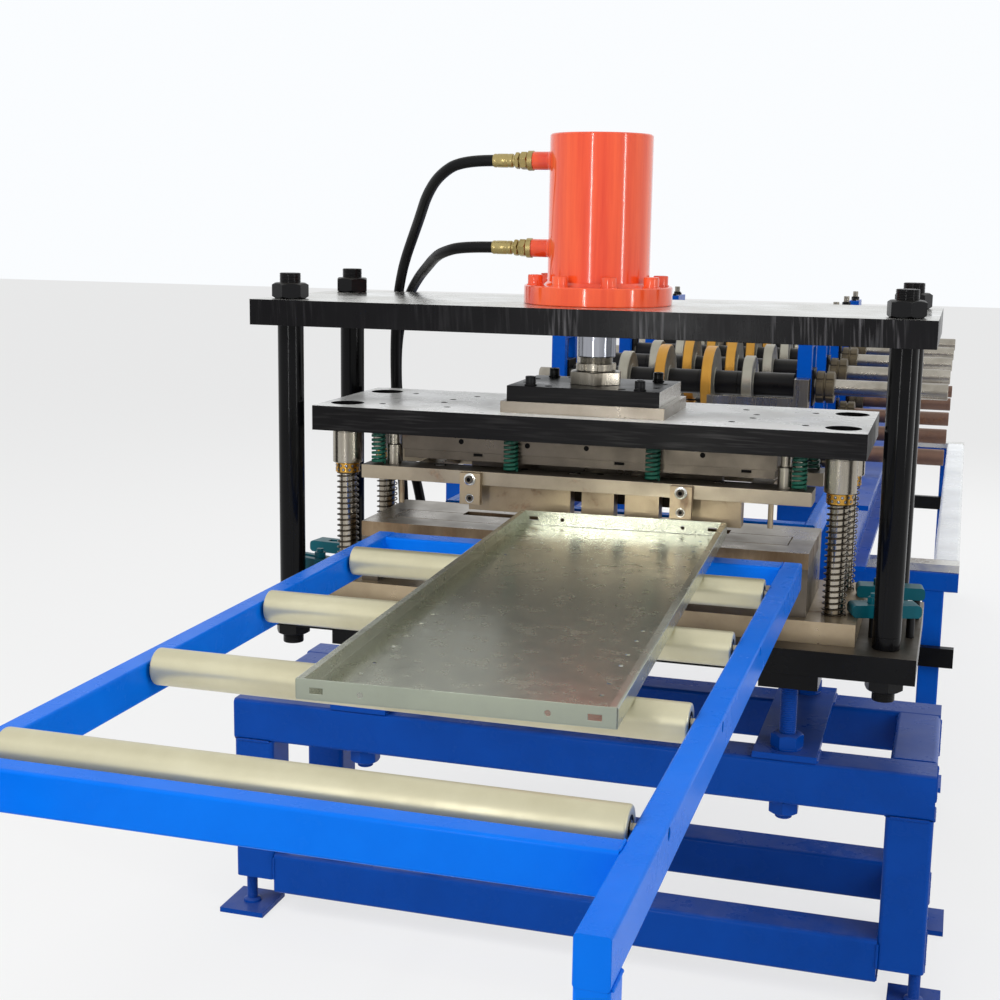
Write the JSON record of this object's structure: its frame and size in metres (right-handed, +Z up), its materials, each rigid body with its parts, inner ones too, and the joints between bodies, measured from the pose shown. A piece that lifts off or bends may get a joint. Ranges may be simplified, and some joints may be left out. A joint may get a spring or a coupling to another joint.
{
  "type": "roll forming machine",
  "caption": "Roll forming line with a bed of paired roll shafts, a four-column hydraulic cut-off press and a roller run-out table carrying a formed sheet panel.",
  "frame": {"origin": "on the floor under the middle of the whole line", "axes": "+X across the line to the right seen from the run-out table, +Y from the table towards the forming bed, +Z up"},
  "size_m": [1.704, 6.192, 1.875],
  "materials": {
    "base_blue": "gloss",
    "table_blue": "gloss",
    "bed_blue": "gloss",
    "bed_white": "satin",
    "cylinder_red": "gloss",
    "platen_steel": "ground top, dark milled edges",
    "tool_steel": "ground, lightly stained",
    "dark_steel": "oiled black",
    "column_black": "blackened, polished by wear",
    "zinc_steel": "zinc plated",
    "chrome_rod": "polished",
    "brass": "satin",
    "spring_steel": "wound wire",
    "spring_green": "satin",
    "clamp_teal": "gloss with bare top",
    "roller_zinc": "zinc plated",
    "panel_zinc": "galvanised sheet",
    "hose_rubber": "satin",
    "stand_steel": "painted and oiled",
    "roll_steel": "ground roll faces"
  },
  "bodies": {
    "frame": {"base_legs": "base_blue", "base_long_rails": "base_blue", "base_side_rails": "base_blue", "levelling_feet": "dark_steel", "jack_bars": "dark_steel", "jack_bolts": "zinc_steel", "bottom_platen": "platen_steel", "top_platen": "platen_steel", "columns": "column_black", "column_nuts": "dark_steel", "cylinder_barrel": "cylinder_red", "port_fittings": "brass", "hose_upper": "hose_rubber", "hose_lower": "hose_rubber", "hose_bulkhead": "zinc_steel", "die_shoe": "tool_steel", "die_risers": "tool_steel", "die_plate": "tool_steel", "toe_clamps": "clamp_teal", "guide_pillars": "chrome_rod", "table_side_rails": "table_blue", "table_cross_rails": "table_blue", "table_legs": "table_blue", "shelf_panel": "panel_zinc", "bed_legs": "bed_white", "bed_cross_beams": "bed_blue", "bed_slide_bars": "platen_steel", "bed_low_rails": "dark_steel", "bed_outer_beams": "bed_white", "stand_beams": "bed_blue", "forming_stands": "bed_blue", "bearing_chocks": "stand_steel", "exit_guide_bar": "dark_steel", "cage_springs": "spring_steel"},
    "ram": {"piston_rod": "chrome_rod", "adapter_plate_upper": "dark_steel", "adapter_plate_lower": "platen_steel", "moving_platen": "platen_steel", "guide_bushings": "tool_steel", "punch_holder": "tool_steel", "sub_guide_posts": "tool_steel", "die_springs": "spring_green"},
    "cages": {"ball_cages": "brass"},
    "stripper": {"stripper_bars": "tool_steel", "stripper_links": "tool_steel", "presser_blocks": "tool_steel"},
    "table_roller_1": {"table_roller_1": "roller_zinc"},
    "table_roller_2": {"table_roller_2": "roller_zinc"},
    "table_roller_3": {"table_roller_3": "roller_zinc"},
    "table_roller_4": {"table_roller_4": "roller_zinc"},
    "lower_shaft_1": {"lower_shaft_1": "roll_steel"},
    "upper_shaft_1": {"upper_shaft_1": "roll_steel"},
    "lower_shaft_2": {"lower_shaft_2": "roll_steel"},
    "upper_shaft_2": {"upper_shaft_2": "roll_steel"},
    "lower_shaft_3": {"lower_shaft_3": "roll_steel"},
    "upper_shaft_3": {"upper_shaft_3": "roll_steel"},
    "lower_shaft_4": {"lower_shaft_4": "roll_steel"},
    "upper_shaft_4": {"upper_shaft_4": "roll_steel"},
    "lower_shaft_5": {"lower_shaft_5": "roll_steel"},
    "upper_shaft_5": {"upper_shaft_5": "roll_steel"}
  },
  "joints": [
    {"name": "ram_slide", "type": "slide", "parent": "frame", "child": "ram", "axis": [0, 0, 1], "range_m": [-0.03, 0.05]},
    {"name": "cage_slide", "type": "slide", "parent": "frame", "child": "cages", "axis": [0, 0, 1], "range_m": [-0.015, 0.025], "deforming": ["cage_springs"]},
    {"name": "stripper_float", "type": "slide", "parent": "ram", "child": "stripper", "axis": [0, 0, 1], "range_m": [0, 0.009], "stiffness_N_per_m": 20000, "springref_m": -0.02, "deforming": ["die_springs"]},
    {"name": "table_roller_1_spin", "type": "hinge", "parent": "frame", "child": "table_roller_1", "pos_m": [0.018, -1.552, 0.974], "axis": [1, 0, 0], "continuous": true},
    {"name": "table_roller_2_spin", "type": "hinge", "parent": "frame", "child": "table_roller_2", "pos_m": [0.018, -1.965, 0.974], "axis": [1, 0, 0], "continuous": true},
    {"name": "table_roller_3_spin", "type": "hinge", "parent": "frame", "child": "table_roller_3", "pos_m": [0.018, -2.378, 0.974], "axis": [1, 0, 0], "continuous": true},
    {"name": "table_roller_4_spin", "type": "hinge", "parent": "frame", "child": "table_roller_4", "pos_m": [0.018, -2.791, 0.974], "axis": [1, 0, 0], "continuous": true},
    {"name": "lower_shaft_1_spin", "type": "hinge", "parent": "frame", "child": "lower_shaft_1", "pos_m": [0, 0.584, 0.955], "axis": [1, 0, 0], "continuous": true},
    {"name": "upper_shaft_1_spin", "type": "hinge", "parent": "frame", "child": "upper_shaft_1", "pos_m": [0, 0.584, 1.165], "axis": [1, 0, 0], "continuous": true},
    {"name": "lower_shaft_2_spin", "type": "hinge", "parent": "frame", "child": "lower_shaft_2", "pos_m": [0, 1.107, 0.955], "axis": [1, 0, 0], "continuous": true},
    {"name": "upper_shaft_2_spin", "type": "hinge", "parent": "frame", "child": "upper_shaft_2", "pos_m": [0, 1.107, 1.165], "axis": [1, 0, 0], "continuous": true},
    {"name": "lower_shaft_3_spin", "type": "hinge", "parent": "frame", "child": "lower_shaft_3", "pos_m": [0, 1.63, 0.955], "axis": [1, 0, 0], "continuous": true},
    {"name": "upper_shaft_3_spin", "type": "hinge", "parent": "frame", "child": "upper_shaft_3", "pos_m": [0, 1.63, 1.165], "axis": [1, 0, 0], "continuous": true},
    {"name": "lower_shaft_4_spin", "type": "hinge", "parent": "frame", "child": "lower_shaft_4", "pos_m": [0, 2.153, 0.955], "axis": [1, 0, 0], "continuous": true},
    {"name": "upper_shaft_4_spin", "type": "hinge", "parent": "frame", "child": "upper_shaft_4", "pos_m": [0, 2.153, 1.165], "axis": [1, 0, 0], "continuous": true},
    {"name": "lower_shaft_5_spin", "type": "hinge", "parent": "frame", "child": "lower_shaft_5", "pos_m": [0, 2.676, 0.955], "axis": [1, 0, 0], "continuous": true},
    {"name": "upper_shaft_5_spin", "type": "hinge", "parent": "frame", "child": "upper_shaft_5", "pos_m": [0, 2.676, 1.165], "axis": [1, 0, 0], "continuous": true}
  ],
  "couplings": [
    {"joint": "cage_slide", "follows": "ram_slide", "ratio": 0.5},
    {"joint": "upper_shaft_1_spin", "follows": "lower_shaft_1_spin", "ratio": -1},
    {"joint": "lower_shaft_2_spin", "follows": "lower_shaft_1_spin", "ratio": 1},
    {"joint": "upper_shaft_2_spin", "follows": "lower_shaft_1_spin", "ratio": -1},
    {"joint": "lower_shaft_3_spin", "follows": "lower_shaft_1_spin", "ratio": 1},
    {"joint": "upper_shaft_3_spin", "follows": "lower_shaft_1_spin", "ratio": -1},
    {"joint": "lower_shaft_4_spin", "follows": "lower_shaft_1_spin", "ratio": 1},
    {"joint": "upper_shaft_4_spin", "follows": "lower_shaft_1_spin", "ratio": -1},
    {"joint": "lower_shaft_5_spin", "follows": "lower_shaft_1_spin", "ratio": 1},
    {"joint": "upper_shaft_5_spin", "follows": "lower_shaft_1_spin", "ratio": -1}
  ]
}
